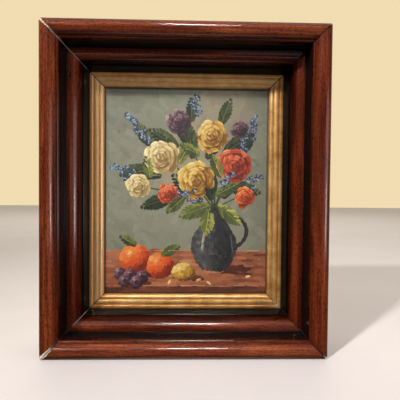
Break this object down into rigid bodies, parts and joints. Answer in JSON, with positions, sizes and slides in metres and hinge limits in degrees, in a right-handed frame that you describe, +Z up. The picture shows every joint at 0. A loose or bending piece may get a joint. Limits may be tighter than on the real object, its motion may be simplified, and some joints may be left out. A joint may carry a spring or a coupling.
{
  "type": "framed oil painting",
  "caption": "Deep-set polished wood picture frame with ebonised bands and a gilt liner around a painted still-life panel, to stand or hang.",
  "frame": {"origin": "middle of the frame's underside, halfway between its front crest and its back", "axes": "+Z up the picture, +X to the viewer's right, the painted face looks along -Y"},
  "size_m": [0.309, 0.072, 0.36],
  "materials": {
    "polished_wood": "dark red-brown French polish with ebonised bands",
    "gilding": "worn gilt over red-brown ground",
    "oil_paint": "oil paint on board"
  },
  "bodies": {
    "root": {"frame_rail_bottom": "polished_wood", "frame_rail_right": "polished_wood", "frame_rail_top": "polished_wood", "frame_rail_left": "polished_wood", "gilt_liner_bottom": "gilding", "gilt_liner_right": "gilding", "gilt_liner_top": "gilding", "gilt_liner_left": "gilding", "painted_panel": "oil_paint"}
  },
  "joints": []
}
